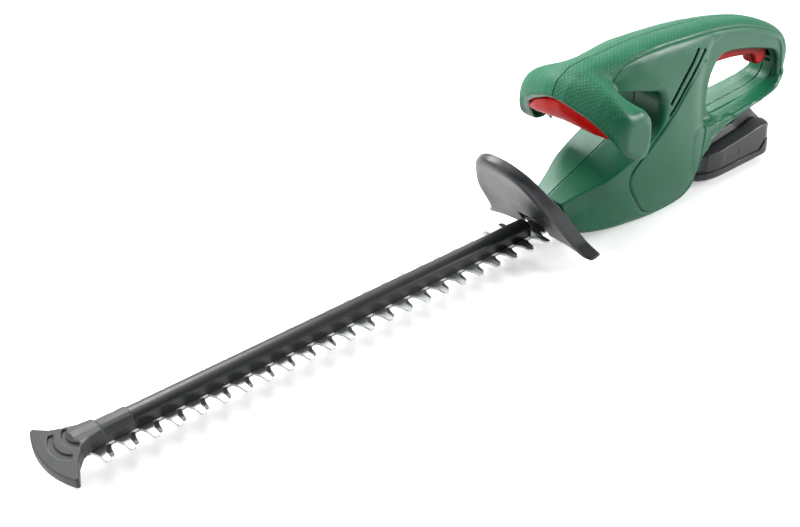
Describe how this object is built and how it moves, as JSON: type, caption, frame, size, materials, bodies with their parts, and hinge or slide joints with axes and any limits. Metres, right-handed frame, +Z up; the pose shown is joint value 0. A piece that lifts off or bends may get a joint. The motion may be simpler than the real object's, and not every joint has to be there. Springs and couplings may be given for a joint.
{
  "type": "hedge trimmer",
  "caption": "Cordless hedge trimmer: long double-sided reciprocating blade, hand guard, bail front handle with switch bar, D rear handle with trigger, slide-in battery.",
  "frame": {"origin": "middle of the bottom of the bounding box, on the plane of the belly's rest face", "axes": "+Z up, -X towards the blade tip, +X towards the rear handle, y = 0 the housing's parting plane"},
  "size_m": [0.811, 0.129, 0.163],
  "materials": {
    "green_plastic": "satin moulded",
    "black_plastic": "fine textured",
    "grey_plastic": "fine textured",
    "red_plastic": "satin",
    "board_green": "solder mask",
    "comb_steel": "ground",
    "cutter_steel": "ground, oiled",
    "screw_steel": "zinc plated",
    "gear_steel": "hardened",
    "die_cast": "die cast",
    "bronze": "sintered",
    "copper": "enamelled",
    "motor_can_steel": "zinc plated",
    "magnet_dark": "ferrite",
    "core_steel": "laminated",
    "spring_steel": "drawn",
    "cell_wrap": "heat shrink"
  },
  "bodies": {
    "housing": {"housing_left": "green_plastic", "housing_right": "green_plastic", "housing_screws": "screw_steel", "hand_guard": "black_plastic", "guard_screws": "screw_steel", "guard_bracket": "black_plastic", "neck_screws": "screw_steel", "blade_cover": "black_plastic", "tip_guard": "grey_plastic", "comb_blade": "comb_steel", "blade_screws": "screw_steel", "blade_bushes": "gear_steel", "tip_screw": "screw_steel", "gearcase_lower": "die_cast", "gearcase_upper": "die_cast", "gearcase_screws": "screw_steel", "gear_axle": "gear_steel", "motor_can": "motor_can_steel", "motor_magnets": "magnet_dark", "motor_end_cap": "black_plastic", "motor_bearings": "bronze", "motor_brushes": "magnet_dark", "motor_mount_screws": "screw_steel", "front_bar_springs": "spring_steel", "front_microswitch": "black_plastic", "front_switch_lever": "spring_steel", "trigger_pin": "gear_steel", "trigger_spring": "spring_steel", "rear_microswitch": "black_plastic", "control_board": "board_green", "board_parts": "black_plastic", "contact_block": "black_plastic", "contact_blades": "copper", "battery_rails": "black_plastic"},
    "cutter": {"cutter_blade": "cutter_steel"},
    "gear": {"drive_gear": "gear_steel", "gear_bush": "bronze", "crank_pin": "gear_steel", "crank_roller": "gear_steel"},
    "rotor": {"motor_pinion": "gear_steel", "motor_shaft": "gear_steel", "rotor_core": "core_steel", "rotor_windings": "copper", "commutator": "copper"},
    "front_bar": {"front_switch_bar": "red_plastic"},
    "trigger": {"rear_trigger": "red_plastic"},
    "battery": {"battery_case_lower": "black_plastic", "battery_case_upper": "black_plastic", "battery_cells": "cell_wrap", "battery_board": "board_green", "battery_terminals": "copper", "battery_screws": "screw_steel", "release_spring": "spring_steel"},
    "release_button": {"battery_release_button": "black_plastic"}
  },
  "joints": [
    {"name": "cutter_slide", "type": "slide", "parent": "housing", "child": "cutter", "axis": [1, 0, 0], "range_m": [-0.00365, 0.01235]},
    {"name": "gear_spin", "type": "hinge", "parent": "housing", "child": "gear", "pos_m": [0.1805, 0, 0.026], "axis": [0, 0, 1], "continuous": true},
    {"name": "rotor_spin", "type": "hinge", "parent": "housing", "child": "rotor", "pos_m": [0.2105, 0, 0.026], "axis": [0, 0, 1], "continuous": true},
    {"name": "front_bar_press", "type": "slide", "parent": "housing", "child": "front_bar", "axis": [0, 0, 1], "range_m": [0, 0.005], "stiffness_N_per_m": 1000, "springref_m": -0.003, "deforming": ["front_bar_springs"]},
    {"name": "trigger_squeeze", "type": "hinge", "parent": "housing", "child": "trigger", "pos_m": [0.2955, 0, 0.1245], "axis": [0, -1, 0], "range_deg": [0, 5], "stiffness_Nm_per_rad": 1, "springref_deg": -8.59, "deforming": ["trigger_spring"]},
    {"name": "battery_slide", "type": "slide", "parent": "housing", "child": "battery", "axis": [1, 0, 0], "range_m": [0, 0.11]},
    {"name": "release_press", "type": "slide", "parent": "battery", "child": "release_button", "axis": [0, 0, -1], "range_m": [0, 0.0025], "stiffness_N_per_m": 800, "springref_m": -0.002, "deforming": ["release_spring"]}
  ],
  "couplings": [
    {"joint": "rotor_spin", "follows": "gear_spin", "ratio": -4}
  ]
}
